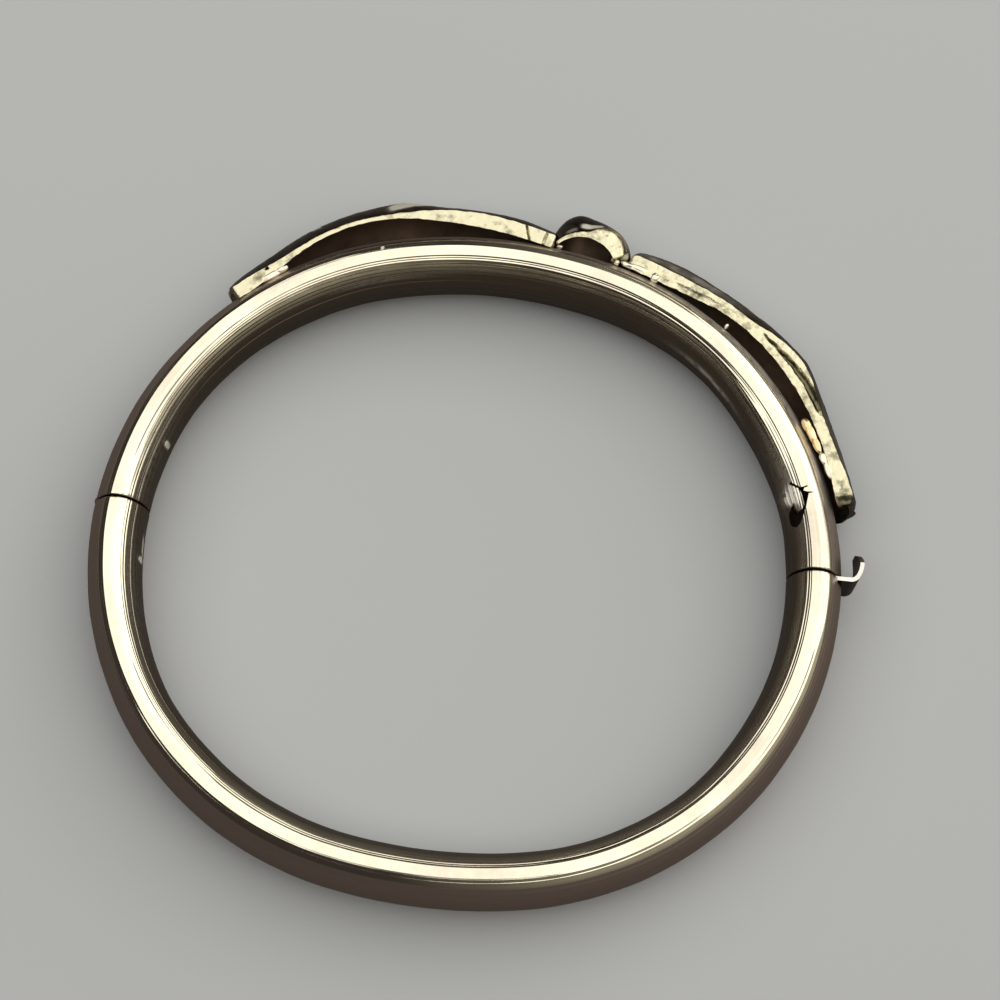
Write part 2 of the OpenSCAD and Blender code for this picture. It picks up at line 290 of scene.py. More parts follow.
def grid_faces(first, rows, columns, flip=False):
    """Quads over a grid of points that starts at index first and closes on itself in each row."""
    faces = []
    for i in range(rows - 1):
        for j in range(columns):
            k = (j + 1) % columns
            a, b = first + i * columns, first + (i + 1) * columns
            quad = (a + j, b + j, b + k, a + k)
            faces.append(quad[::-1] if flip else quad)
    return faces


def half_tube(name, half, swellings, dents, scuffs_and_highlights, materials):
    """One hollow half: a fine outer wall, a plainer inner one, and rounded ends at the seams.
    materials are the outer skin, the inner skin and the cut edge, in that order; the cut edge's dark finish
    also covers the rounded rows by each seam, as painted shade."""
    gilt, inside, cut = range(3)
    angles = even_angles(points_round)
    length = math.pi * half.end_r
    ends = rounded_edge * (1 - np.cos(np.radians(np.array(edge_arc)))) / length
    middle = np.linspace(ends[-1], 1 - ends[-1], int(length / row_step))
    along = np.concatenate([ends[:-1], middle, 1 - ends[-2::-1]])
    from_end = np.minimum(along, 1 - along) * length
    rounding = np.where(
        from_end < rounded_edge,
        rounded_edge - np.sqrt(np.maximum(rounded_edge ** 2 - (rounded_edge - from_end) ** 2, 0)), 0)

    def turns(shares, offset):
        """Turns round the band, from seam to seam, of points at an offset."""
        start = half.seam_turn(offset)
        return start + (180 - 2 * start) * shares

    def skin(shares, inset, worn):
        """Points of one skin of the wall, and each point's share of scuff and painted highlight. Only the
        outer one is worn.
        """
        turn = turns(shares[:, None], 0 * angles[None])
        wave = 0 * turn
        scuff_and_highlight = 0 * turn
        if worn:
            wave = hand_worn(turn * half.facing, angles[None])
            for spot in swellings:
                wave = wave + bump_at(turn, angles[None], spot)
            for place in dents:
                wave = wave + pressed_in(turn, angles[None], place)
            for spot in scuffs_and_highlights:
                scuff_and_highlight = scuff_and_highlight + bump_at(turn, angles[None], spot)
        offset, height = section(angles[None], np.asarray(inset).reshape(-1, 1) - wave)
        plan = half.place(turns(shares[:, None], offset), offset)
        return np.concatenate([plan, (mid + height)[..., None]], -1).reshape(-1, 3), scuff_and_highlight.ravel()

    inner_along = np.linspace(0, 1, inner_rows)
    outer, outer_scuff_and_highlight = skin(along, rounding, True)
    inner, inner_scuff_and_highlight = skin(inner_along, wall, False)
    outward = half.facing > 0
    first = len(outer)
    faces = grid_faces(0, len(along), points_round, not outward)
    faces += grid_faces(first, inner_rows, points_round, outward)
    # The rows of rounded outer wall next to each seam take the cut edge's dark finish, as painted shade in
    # the seam.
    edge_rows = 2
    outer_rows = [cut] * edge_rows + [gilt] * (len(along) - 1 - 2 * edge_rows) + [cut] * edge_rows
    skins = [slot for slot in outer_rows for _ in range(points_round)]
    skins += [inside] * (inner_rows - 1) * points_round
    last, last_inner = (len(along) - 1) * points_round, first + (inner_rows - 1) * points_round
    for o, i, flip in ((0, first, not outward), (last, last_inner, outward)):
        for j in range(points_round):
            k = (j + 1) % points_round
            quad = (o + j, i + j, i + k, o + k)
            faces.append(quad[::-1] if flip else quad)
            skins.append(cut)
    around = way_round(angles)
    wall_places = np.concatenate([
        np.stack(np.broadcast_arrays(shares[:, None] * length, around[None]), -1).reshape(-1, 2)
        for shares in (along, inner_along)])
    return new_piece(name, np.concatenate([outer, inner]), faces, materials, skins, wall_places,
                     {"scuff_and_highlight": np.concatenate([outer_scuff_and_highlight, inner_scuff_and_highlight])})


def prism(outline, low, high):
    """Points and faces of an upright prism over a plan outline."""
    n = len(outline)
    points = [(x, y, low) for x, y in outline] + [(x, y, high) for x, y in outline]
    faces = [tuple(range(n))[::-1], tuple(range(n, 2 * n))]
    faces += [(i, (i + 1) % n, n + (i + 1) % n, n + i) for i in range(n)]
    return points, faces


def ball(centre, radius):
    """Points and faces of a small round cutter."""
    shape = bmesh.new()
    bmesh.ops.create_icosphere(shape, subdivisions=3, radius=radius)
    points = [tuple(Vector(centre) + vertex.co) for vertex in shape.verts]
    faces = [tuple(vertex.index for vertex in face.verts) for face in shape.faces]
    shape.free()
    return points, faces


def cut_away(piece, cutters):
    """Cuts closed shapes out of a piece's mesh, in place."""
    for points, faces in cutters:
        mesh = bpy.data.meshes.new("cutter")
        mesh.from_pydata((np.asarray(points, float) * mm).tolist(), [], faces)
        shape = bmesh.new()
        shape.from_mesh(mesh)
        bmesh.ops.recalc_face_normals(shape, faces=shape.faces)
        shape.to_mesh(mesh)
        shape.free()
        cutter = bpy.data.objects.new("cutter", mesh)
        bpy.context.scene.collection.objects.link(cutter)
        away = piece.modifiers.new("cut", "BOOLEAN")
        away.operation, away.solver, away.object = "DIFFERENCE", "EXACT", cutter
        bpy.context.view_layer.update()
        done = bpy.data.meshes.new_from_object(piece.evaluated_get(bpy.context.evaluated_depsgraph_get()))
        piece.modifiers.clear()
        old, piece.data = piece.data, done
        bpy.data.meshes.remove(old)
        bpy.data.objects.remove(cutter)
        bpy.data.meshes.remove(mesh)
    piece.data.shade_smooth()
    piece.data.set_sharp_from_angle(angle=math.radians(crease_angle))


def per_mm(count):
    """Scale of a pattern that has this many spots in a millimetre."""
    return 1000 * count


# Rolled gold on brass, drawn and worn: pale gold, nearly mirror bright along the ridge, with
# lines along the tube, brown tarnish in patches where nothing rubs it, and pale scuffs. The outer
# flank is painted greyish brown, as tarnish and painted shade, and the inner wall a duller brown
# as painted shade. Some of the pale scuffs are painted highlights: glints beside the punched pits
# and a sheen along the outer flank. The real lines, about 0.05 mm apart, and the grain of the
# scuffs are too fine to show, so the lines are drawn 0.4 mm apart and the grain 0.7 mm wide.
gold_worn = "#E5DFCA"
gold_tarnished_and_shaded = "#B8A8A0"
gold_shaded_inside = "#847A6E"
gold_scuffs_and_highlights = "#FFFDF4"
scuffed_roughness = (0.6, 0.6, 0.6, 1)
draw_line_apart = 0.4
draw_line_run = 120
draw_line_depth = 0.18
tarnish_size = 9
scuff_and_highlight_grains = 1.4
# Where the bright ridge and the inner wall begin, measured round the tube from its lowest line
# by way of the outer side
ridge_start = 8.9
inner_start = 12

drawn_gilt_brass = empty_material("drawn_gilt_brass")
tree = drawn_gilt_brass.node_tree
wall_place = add(tree, "ShaderNodeUVMap", uv_map="tube_mm")
space = add(tree, "ShaderNodeTexCoord")
lengthwise = add(tree, "ShaderNodeMapping", {
    "Vector": wall_place.outputs["UV"], "Scale": (1 / draw_line_run, 1 / draw_line_apart, 1)})
draw_lines = add(tree, "ShaderNodeTexNoise", {
    "Vector": lengthwise.outputs[0], "Scale": 1, "Detail": 1, "Roughness": 0.6})
round_wall = add(tree, "ShaderNodeSeparateXYZ", {"Vector": wall_place.outputs["UV"]})
# The outer flank is painted greyish brown: tarnish and painted shade.
outer_flank_shade = add(tree, "ShaderNodeMapRange", {
    "Value": round_wall.outputs["Y"], "From Min": ridge_start + 0.15, "From Max": ridge_start - 0.35})
# The inner wall is painted a duller brown: painted shade.
inner_wall = add(tree, "ShaderNodeMapRange", {
    "Value": round_wall.outputs["Y"], "From Min": inner_start - 0.6, "From Max": inner_start + 0.6})
patches = add(tree, "ShaderNodeTexNoise", {
    "Vector": space.outputs["Object"], "Scale": per_mm(1 / tarnish_size), "Detail": 5, "Roughness": 0.65})
patch_edge = add(tree, "ShaderNodeMapRange", {
    "Value": patches.outputs["Fac"], "From Min": 0.42, "From Max": 0.72, "To Max": 0.6})
tarnish_and_flank_shade = add(tree, "ShaderNodeMath", {
    0: patch_edge.outputs[0], 1: outer_flank_shade.outputs[0]}, operation="MAXIMUM")
colour = add(tree, "ShaderNodeMixRGB", {
    "Fac": tarnish_and_flank_shade.outputs[0], "Color1": linear(gold_worn), "Color2": linear(gold_tarnished_and_shaded)})
with_inside = add(tree, "ShaderNodeMixRGB", {
    "Fac": inner_wall.outputs[0], "Color1": colour.outputs[0], "Color2": linear(gold_shaded_inside)})
# Pale scuffs, some of them painted highlights: glints beside the punched pits and a sheen along the outer
# flank.
scuff_and_highlight_mark = add(tree, "ShaderNodeAttribute", attribute_name="scuff_and_highlight")
scuff_and_highlight_grain = add(tree, "ShaderNodeTexNoise", {
    "Vector": space.outputs["Object"], "Scale": per_mm(scuff_and_highlight_grains), "Detail": 3})
scuff_and_highlight_edge = add(tree, "ShaderNodeMapRange", {
    "Value": scuff_and_highlight_grain.outputs["Fac"], "From Min": 0.3, "From Max": 0.5, "To Min": 0.35, "To Max": 1.2})
scuff_and_highlight = add(tree, "ShaderNodeMath", {
    0: scuff_and_highlight_mark.outputs["Fac"], 1: scuff_and_highlight_edge.outputs[0]}, operation="MULTIPLY", use_clamp=True)
with_scuffs_and_highlights = add(tree, "ShaderNodeMixRGB", {
    "Fac": scuff_and_highlight.outputs[0], "Color1": with_inside.outputs[0], "Color2": linear(gold_scuffs_and_highlights)})
never_rubbed = add(tree, "ShaderNodeMath", {
    0: inner_wall.outputs[0], 1: 0.5}, operation="MULTIPLY")
least_rubbed = add(tree, "ShaderNodeMath", {
    0: tarnish_and_flank_shade.outputs[0], 1: never_rubbed.outputs[0]}, operation="MAXIMUM")
dullness = add(tree, "ShaderNodeMapRange", {
    "Value": least_rubbed.outputs[0], "To Min": 0.06, "To Max": 0.4})
rubbed_rough = add(tree, "ShaderNodeMixRGB", {
    "Fac": scuff_and_highlight.outputs[0], "Color1": dullness.outputs[0], "Color2": scuffed_roughness})
line_strength = add(tree, "ShaderNodeMapRange", {
    "Value": round_wall.outputs["Y"], "From Min": ridge_start + 0.2, "From Max": ridge_start + 1.4,
    "To Min": 0.35, "To Max": 1})
lines_raised = add(tree, "ShaderNodeBump", {
    "Height": draw_lines.outputs["Fac"], "Strength": line_strength.outputs[0],
    "Distance": draw_line_depth * mm})
shine = add(tree, "ShaderNodeBsdfPrincipled", {
    "Base Color": with_scuffs_and_highlights.outputs[0], "Metallic": 1, "Roughness": rubbed_rough.outputs[0],
    "Normal": lines_raised.outputs[0]})
add(tree, "ShaderNodeOutputMaterial", {"Surface": shine.outputs[0]})


def stained_metal(name, spots_per_mm, detail, colours, metallic, roughness):
    """A plain metal skin whose colour wanders between two in spots."""
    material = empty_material(name)
    tree = material.node_tree
    space = add(tree, "ShaderNodeTexCoord")
    spots = add(tree, "ShaderNodeTexNoise", {
        "Vector": space.outputs["Object"], "Scale": per_mm(spots_per_mm), "Detail": detail})
    colour = add(tree, "ShaderNodeMixRGB", {
        "Fac": spots.outputs["Fac"], "Color1": linear(colours[0]), "Color2": linear(colours[1])})
    shine = add(tree, "ShaderNodeBsdfPrincipled", {
        "Base Color": colour.outputs[0], "Metallic": metallic, "Roughness": roughness})
    add(tree, "ShaderNodeOutputMaterial", {"Surface": shine.outputs[0]})
    return material


# The tube's inside, which nobody polished: brown oxidised brass, dull, with stains about a
# millimetre wide.
raw_brass_inside = stained_metal(
    "raw_brass_inside", spots_per_mm=0.9, detail=4, colours=("#5C4A3E", "#8E7868"), metallic=0.2,
    roughness=0.7)

# Sawn edges of the sheet at the seams and cuts, and the rounded rows of wall beside each seam:
# dark brown, as painted shade in the seam. Saw marks are finer than this grain, which is drawn
# 0.7 mm wide so that it shows.
cut_edge_and_seam_shade = stained_metal(
    "cut_edge_and_seam_shade", spots_per_mm=1.5, detail=4, colours=("#2E261C", "#6A5C44"), metallic=1,
    roughness=0.4)

tube_skins = [drawn_gilt_brass, raw_brass_inside, cut_edge_and_seam_shade]

# The hinge's barrel lies in the seam, and bevelled ends let the halves swing past each other
hinge_x = -32.7266
barrel_r = 0.61
barrel_length = 3.12
relief_angle = 33
relief_reach = 3
cut_past = 1


def barrel_room():
    """The round hollow that both halves leave for the hinge's barrel."""
    ring = [(hinge_x + barrel_r * math.cos(a), seam_y + barrel_r * math.sin(a))
            for a in np.linspace(0, 2 * math.pi, 32, endpoint=False)]
    return prism(ring, mid - barrel_length / 2, mid + barrel_length / 2)


def swing_room(facing):
    """The wedge outside the pin that a half leaves free, so that the band can open."""
    rise = relief_reach * math.tan(math.radians(relief_angle)) * facing
    corners = [(hinge_x, seam_y), (hinge_x - relief_reach, seam_y), (hinge_x - relief_reach, seam_y + rise)]
    return prism(corners, -cut_past, tube_height + cut_past)


# ---- Back half ----
# The shorter half of the drawn tube, with a notch sawn in its outer wall at the clasp for the
# thumb tab. A punched pit in its inner wall near the hinge fixes the plug inside.
back_crimp = (-28.08, -2.79, mid)
crimp_r = 0.5
# Dents: turn, half length, depth. Scuffs, some of them painted highlights: turn, angle, half size along and
# round, strength
back_dents = [(148, 15, 0.3), (48, 12, 0.25), (68, 8, 0.1)]
back_scuffs_and_highlights = [(173.3, 171, 0.5, 5, 3), (176, 175, 2.2, 2.5, 1.6), (166, 140, 16, 24, 0.2)]
back_half = half_tube("back_tube", back, swellings=[], dents=back_dents, scuffs_and_highlights=back_scuffs_and_highlights,
                      materials=tube_skins)
# The notch lies at the seam, where the folded spring's tab comes out
tab_height = 4.8
seam_x = 30.9366
notch_start = 0.2
notch_end = 4.2
notch_depth = 0.68
notch_play = 0.06
notch_plan = [(seam_x + notch_start, seam_y - notch_depth), (seam_x + notch_end, seam_y - notch_depth),
              (seam_x + notch_end, seam_y + cut_past), (seam_x + notch_start, seam_y + cut_past)]
notch = prism(notch_plan, mid - tab_height / 2 - notch_play, mid + tab_height / 2 + notch_play)
cut_away(back_half, [barrel_room(), swing_room(-1), notch, ball(back_crimp, crimp_r)])
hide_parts("back_half")
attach(back_half, "back")

# ---- Front half ----
# The longer half of the drawn tube, which carries the ornament. Near the clasp its wall has torn:
# a jagged crack runs over the ridge, a flap stands up beside it, and a hole shows the dark inside.
tear_floor = mid + 1
# The torn outline: turns round the band, and offsets from its centre line
tear = [
    (21.15, -1.22), (20.6, -1.0), (20.2, -0.86), (19.6, -0.6), (19.45, -0.35), (19.55, -0.05),
    (19.25, 0.06), (19.2, -0.3), (18.75, -0.42), (18.35, -0.1), (18.0, 0.62), (18.0, -0.06),
    (17.5, -0.16), (16.7, -0.34), (15.85, -0.5), (15.1, -0.72), (14.55, -0.83), (13.1, -1.15),
    (12.55, -1.53), (13.1, -1.8), (13.95, -1.9), (15.75, -1.88), (17.2, -1.43), (16.4, -1.4),
    (15.3, -1.19), (15.6, -0.85), (16.1, -0.66), (17.7, -0.62), (18.9, -0.68), (19.6, -0.84),
    (20.2, -1.1), (20.9, -1.36),
]
front_crimp = (-27.1, 7.95, mid + 1.35)
# Swellings, and scuffs of which some are painted highlights: turn, angle, half size along and
# round, height or strength. The wall stands up beside the tear, and is swollen from there to
# behind the right leaf
front_swellings = [(18.4, 160, 2.2, 14, 0.42), (36, 150, 9, 15, 0.2), (25, 150, 6, 15, 0.12)]
front_dents = [(52, 15, 0.3), (17, 7, 0.15), (148, 18, 0.25)]
front_scuffs_and_highlights = [
    (48, 168, 8, 3.5, 1), (108, 154, 9, 2.2, 0.35), (162.9, 166, 0.5, 5, 3), (106.1, 64, 0.25, 5, 2.5),
    (18.9, 137, 1.6, 12, 1.6), (17.6, 144, 0.8, 8, 1.4), (22, 138, 8, 24, 0.35),
    (168, 140, 16, 24, 0.2), (46, 30, 30, 16, 0.5),
]
front_half = half_tube("front_tube", front, swellings=front_swellings, dents=front_dents,
                       scuffs_and_highlights=front_scuffs_and_highlights, materials=tube_skins)
tear_outline = [tuple(front.place(turn, offset)) for turn, offset in tear]
cut_away(front_half, [barrel_room(), swing_room(1), prism(tear_outline, tear_floor, tube_height + cut_past),
                      ball(front_crimp, crimp_r)])
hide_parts("front_half")
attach(front_half, "front")

# ---- Ornament: what its three pieces share ----
# Two leaves and a knob, stamped from thin sheet and soldered on edge to the front half's outer
# wall. Seen from above they show their rims, thick and uneven with solder.
ornament_height = 6
sheet = 0.3
rim_columns = 20
face_columns = 40
# Rounded rims: how deep, and over what share of the rim's width
rim_rounding = 0.05
rim_rounding_share = 0.12
# How much a strip's rounded ends pull in: in height, at the inner face, and of the rim's width
end_lower = 0.45
end_inner = 0.25
end_outer = 0.4
# Unevenness of worked and soldered sheet: sizes of its lumps, and shares of its depth on the
# whole strip and, besides, on the rims
lump_size = 0.9
small_lump_size = 0.32
small_lump_share = 0.55
side_lump_size = 0.6
lift_shares = (0.3, 1.2)
side_shares = (0.35, 0.65)


def follow(start, rows, step=0.11):
    """Points, outward directions and distances along a path. start is its turn, offset and lean.
    Each row is a radius and an angle, or 0 and a length where the path is straight."""
    turn, offset, lean = start
    x, y = front.place(turn, offset)
    heading = math.radians(turn - 90 + lean)
    path, run = [], 0

    def ahead(s):
        """The point at a distance into the stretch being made."""
        forward, aside = (s, 0) if bend == 0 else (math.sin(bend * s) / bend, (1 - math.cos(bend * s)) / bend)
        return (x + forward * math.cos(heading) - aside * math.sin(heading),
                y + forward * math.sin(heading) + aside * math.cos(heading))

    for i, (radius, amount) in enumerate(rows):
        length = amount if radius == 0 else abs(radius) * math.radians(amount)
        n = max(2, round(length / step))
        bend = 0 if radius == 0 else -1 / radius
        for k in range(n + (i == len(rows) - 1)):
            s = length * k / n
            h = heading + bend * s
            path.append((*ahead(s), -math.sin(h), math.cos(h), run + s))
        x, y = ahead(length)
        heading += bend * length
        run += length
    return np.array(path)


def rough(points, size, depth, seed):
    """Uneven surface: noise of a grain size and depth in millimetres, one value for each point."""
    shift = Vector([seed * apart for apart in (17.3, 5.1, 9.7)])
    return depth * np.array([noise.noise(Vector(p) / size + shift) for p in points])


def stamped_strip(name, path, rim, reach, relief, level, end_round, roughness, seed, dirt_and_shade, painted_highlights):
    """A stamped strip on edge: rim is its thickness along the top and bottom edges, reach how far
    its middle stands out, relief the pattern of its outer face, and level the height of its rim.
    Dirt on the rim is given along its length; besides, the rim is painted darker where it lies low,
    as painted shade in the dips. Each painted highlight is a place on the outer face painted pale:
    distance along, half length, place across (-1 to 1), half width, how much that place shifts in
    a millimetre, and strength."""
    outer_face, hollow, rim_metal = range(3)
    s = path[:, 4]
    v = np.sin(np.linspace(-math.pi / 2, math.pi / 2, face_columns))
    dome = 1 - v ** 2
    thick, stands = rim(s)[:, None], reach(s)[:, None]
    near_end = np.minimum(s, s[-1] - s)
    shrink = np.where(near_end < end_round, 1 - np.sqrt(np.maximum(
        0, 1 - (1 - near_end / end_round) ** 2)), 0)[:, None]
    half = ornament_height / 2 - end_lower * shrink
    inside = dome[None] * np.maximum(stands - sheet, 0) + end_inner * shrink
    outside = (thick + (stands - thick) * dome[None] - end_outer * shrink * thick
               + relief(s[:, None], v[None]))
    across = np.linspace(0, 1, rim_columns)[None]
    rim_out = inside[:, -1:] + (outside[:, -1:] - inside[:, -1:]) * across
    rim_in = inside[:, :1] + (outside[:, :1] - inside[:, :1]) * across[:, ::-1]
    from_edge = np.minimum(across, 1 - across) / rim_rounding_share
    edge = rim_rounding * (1 - np.minimum(1, from_edge)) ** 2
    lift = level(s[:, None], rim_out)
    out = np.concatenate([inside, rim_out[:, 1:-1], outside[:, ::-1], rim_in[:, 1:-1]], 1)
    up = np.concatenate([half * v[None], (half - edge + lift)[:, 1:-1], half * v[None, ::-1],
                         -half + 0 * rim_in[:, 1:-1]], 1)
    columns = out.shape[1]
    first_rim, first_face = face_columns, face_columns + rim_columns - 2
    points = np.stack([path[:, 0, None] + out * path[:, 2, None],
                       path[:, 1, None] + out * path[:, 3, None], mid + up], -1).reshape(-1, 3)
    uneven = (rough(points, lump_size, roughness, seed)
              + rough(points, small_lump_size, roughness * small_lump_share, seed + 1))
    sideways = rough(points, side_lump_size, roughness, seed + 2)
    on_rim = np.zeros((len(s), columns))
    on_rim[:, first_rim - 1:first_face + 1] = 1
    dirt_and_shade_share = np.repeat(dirt_and_shade(s)[:, None], columns, 1)
    # Where the rim lies low it is painted darker: painted shade in the dips.
    dirt_and_shade_share[:, first_rim:first_face] -= lift[:, 1:-1]
    highlight_patches = np.zeros((len(s), columns))
    for along, half_run, place, width, shift, strength in painted_highlights:
        here = place + shift * (s[:, None] - along)
        highlight_patches[:, first_face:first_face + face_columns] += strength * np.exp(
            -((s[:, None] - along) / half_run) ** 6 - ((v[None, ::-1] - here) / width) ** 4)
    on_rim = on_rim.ravel()
    points[:, 2] += uneven * (lift_shares[0] + lift_shares[1] * on_rim)
    outward = np.repeat(path[:, 2:4], columns, 0)
    points[:, :2] += outward * (sideways * (side_shares[0] + side_shares[1] * on_rim))[:, None]
    faces = grid_faces(0, len(s), columns, True)
    row_skins = ([hollow] * (face_columns - 1) + [rim_metal] * (rim_columns - 1)
                 + [outer_face] * (face_columns - 1) + [rim_metal] * (rim_columns - 1))
    skins = row_skins * (len(s) - 1)
    last = (len(s) - 1) * columns
    faces += [tuple(range(columns)), tuple(range(last, last + columns))[::-1]]
    skins += [rim_metal] * 2
    return new_piece(name, points, faces, [stamped_gilt_sheet, soot_dark_inside, solder_thick_rim], skins,
                     marks={"dirt_and_shade": dirt_and_shade_share, "highlight_patches": highlight_patches}, smooth_angle=48)


def steps(*pairs):
    """A value that runs smoothly through (distance, value) pairs."""
    at, values = (np.array(column, float) for column in zip(*pairs))
    slopes = np.gradient(values, at)

    def value(s):
        i = np.clip(np.searchsorted(at, s, side="right") - 1, 0, len(at) - 2)
        width = at[i + 1] - at[i]
        f = np.clip((s - at[i]) / width, 0, 1)
        return ((1 + 2 * f) * (1 - f) ** 2 * values[i] + f * f * (3 - 2 * f) * values[i + 1]
                + width * f * (1 - f) * ((1 - f) * slopes[i] - f * slopes[i + 1]))
    return value


def ridge(x, middle, width):
    """A soft ridge of height 1 round a place."""
    return np.exp(-((x - middle) / width) ** 2)


def veins(spacing, slant, height):
    """Relief of a faint midrib and slanting side veins on the outer face."""
    vein_width, midrib_width, midrib_share = 0.3, 0.08, 0.9

    def relief(s, v):
        run = (s - slant * np.abs(v)) % spacing
        side_veins = ridge(np.minimum(run, spacing - run), 0, vein_width)
        side_veins = side_veins * np.clip(1.1 - np.abs(v), 0, 1) * np.clip(3 * np.abs(v), 0, 1)
        return height * (side_veins + midrib_share * ridge(v, 0, midrib_width))
    return relief


# Gilt sheet, stamped and polished: pale gold at painted highlights, and elsewhere brown to black,
# in patches about a millimetre wide, as tarnish and as a painted dark reflection. The pits are
# drawn 0.5 mm wide, coarser than they are, so that they show.
sheet_patches = 0.9
sheet_pits = 2.2
sheet_pit_depth = 0.02
stamped_gilt_sheet = empty_material("stamped_gilt_sheet")
tree = stamped_gilt_sheet.node_tree
space = add(tree, "ShaderNodeTexCoord")
patches = add(tree, "ShaderNodeTexNoise", {
    "Vector": space.outputs["Object"], "Scale": per_mm(sheet_patches), "Detail": 7})
patch_edge = add(tree, "ShaderNodeMapRange", {
    "Value": patches.outputs["Fac"], "From Min": 0.35, "From Max": 0.62})
colour = add(tree, "ShaderNodeMixRGB", {
    "Fac": patch_edge.outputs[0], "Color1": linear("#706453"), "Color2": linear("#352E29")})
# Pale marks where the outer face is given painted highlights.
highlight_mark = add(tree, "ShaderNodeAttribute", attribute_name="highlight_patches")
highlight_grain = add(tree, "ShaderNodeMapRange", {
    "Value": patches.outputs["Fac"], "From Min": 0.3, "From Max": 0.6, "To Min": 1.15, "To Max": 0.75})
highlight_patches = add(tree, "ShaderNodeMath", {
    0: highlight_mark.outputs["Fac"], 1: highlight_grain.outputs[0]}, operation="MULTIPLY", use_clamp=True)
with_highlights = add(tree, "ShaderNodeMixRGB", {
    "Fac": highlight_patches.outputs[0], "Color1": colour.outputs[0], "Color2": linear("#F4F0E4")})
dullness = add(tree, "ShaderNodeMapRange", {
    "Value": highlight_patches.outputs[0], "To Min": 0.16, "To Max": 0.6})
pits = add(tree, "ShaderNodeTexNoise", {
    "Vector": space.outputs["Object"], "Scale": per_mm(sheet_pits), "Detail": 4})
pitted = add(tree, "ShaderNodeBump", {
    "Height": pits.outputs["Fac"], "Strength": 1, "Distance": sheet_pit_depth * mm})
shine = add(tree, "ShaderNodeBsdfPrincipled", {
    "Base Color": with_highlights.outputs[0], "Metallic": 1, "Roughness": dullness.outputs[0],
    "Normal": pitted.outputs[0]})
add(tree, "ShaderNodeOutputMaterial", {"Surface": shine.outputs[0]})

# The hollow behind the leaves and the knob: sheet browned by the torch, in stains about a
# millimetre wide. It looks dark because little light gets in.
soot_dark_inside = stained_metal(
    "soot_dark_inside", spots_per_mm=0.8, detail=5, colours=("#6C584A", "#94806E"), metallic=0.9,
    roughness=0.45)

# Rims thick with hard solder, filed and worn bright: cream, mottled with greenish grey dirt, and painted that
# greenish grey where the rim lies low, as painted shade in the dips.
# File marks are finer than this grain, which is drawn 0.8 mm wide so that it shows.
rim_grains = 1.3
rim_patches = 0.52
rim_grain_depth = 0.06
solder_thick_rim = empty_material("solder_thick_rim")
tree = solder_thick_rim.node_tree
space = add(tree, "ShaderNodeTexCoord")
grain = add(tree, "ShaderNodeTexNoise", {
    "Vector": space.outputs["Object"], "Scale": per_mm(rim_grains), "Detail": 6, "Roughness": 0.65})
patches = add(tree, "ShaderNodeTexNoise", {
    "Vector": space.outputs["Object"], "Scale": per_mm(rim_patches), "Detail": 3})
dirt_and_shade = add(tree, "ShaderNodeAttribute", attribute_name="dirt_and_shade")
mottled = add(tree, "ShaderNodeMath", {0: grain.outputs["Fac"], 1: patches.outputs["Fac"]}, operation="ADD")
with_dirt_and_shade = add(tree, "ShaderNodeMath", {0: mottled.outputs[0], 1: dirt_and_shade.outputs["Fac"]}, operation="ADD")
dirt_and_shade_mix = add(tree, "ShaderNodeMapRange", {
    "Value": with_dirt_and_shade.outputs[0], "From Min": 1.04, "From Max": 1.34})
colour = add(tree, "ShaderNodeMixRGB", {
    "Fac": dirt_and_shade_mix.outputs[0], "Color1": linear("#D0CAAF"), "Color2": linear("#66634F")})
filed = add(tree, "ShaderNodeBump", {
    "Height": grain.outputs["Fac"], "Strength": 1, "Distance": rim_grain_depth * mm})
shine = add(tree, "ShaderNodeBsdfPrincipled", {
    "Base Color": colour.outputs[0], "Metallic": 1, "Roughness": 0.32, "Normal": filed.outputs[0]})
add(tree, "ShaderNodeOutputMaterial", {"Surface": shine.outputs[0]})

# ---- Left leaf ----
# The larger leaf: a hollow shell of stamped gilt sheet whose rim is thin along the left and thick
# by the knob, where two filed facets meet it. Its left foot is solid with solder.
left_leaf_path = follow(
    start=(133.2, 1.54, -2.53), rows=[(-33.6, 9.8), (15.4, 48.9), (41.3, 13.9), (35.8, 3.9)])


def left_leaf_level(s, out):
    """Height of the left leaf's rim: two grooves between the facets, a pit and a slight rise."""
    joints = ridge(s + 0.5 * out, 29.1, 0.07) + 0.8 * ridge(s, 30.4, 0.06)
    pit = ridge(s, 3.9, 0.11) * ridge(out, 0.9, 0.12)
    return -0.35 * joints - 0.5 * pit + 0.07 * ridge(s, 7.6, 0.5) * (out > 0)


left_leaf = stamped_strip(
    "left_leaf", left_leaf_path,
    rim=steps((0, 1.25), (2.4, 1.2), (4.8, 0.85), (6.4, 0.57), (9.6, 0.42), (13, 0.4), (16, 0.46),
              (18.4, 0.72), (20.8, 1.11), (22.4, 1.28), (31.4, 1.28)),
    reach=steps((0, 2.2), (1.6, 2.5), (3.2, 2.55), (6.4, 2.3), (14, 2.3), (17.6, 2.65), (20.8, 2.4),
                (24, 2.55), (28, 2.72), (31.4, 2.3)),
    relief=veins(spacing=4.2, slant=2, height=0.03), level=left_leaf_level,
    end_round=0.3, roughness=0.045, seed=3,
    dirt_and_shade=steps((0, 0.02), (4, 0.04), (10, -0.06), (18, 0), (26, -0.04), (31.8, 0)),
    painted_highlights=[(17.9, 1.8, 0.56, 0.2, -0.09, 2), (9.8, 0.45, 0.5, 0.14, 0, 1.2)])
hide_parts("front_half")
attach(left_leaf, "front")

# ---- Right leaf ----
# The smaller leaf: two sheets of stamped gilt brass, one over the other, their gap filled with
# solder near the knob and at the foot, and open between.
right_leaf_path = follow(
    start=(72.7, 1.88, -3.38), rows=[(0, 8), (15.5, 19.7), (24, 22.7), (30.3, 15.8)])


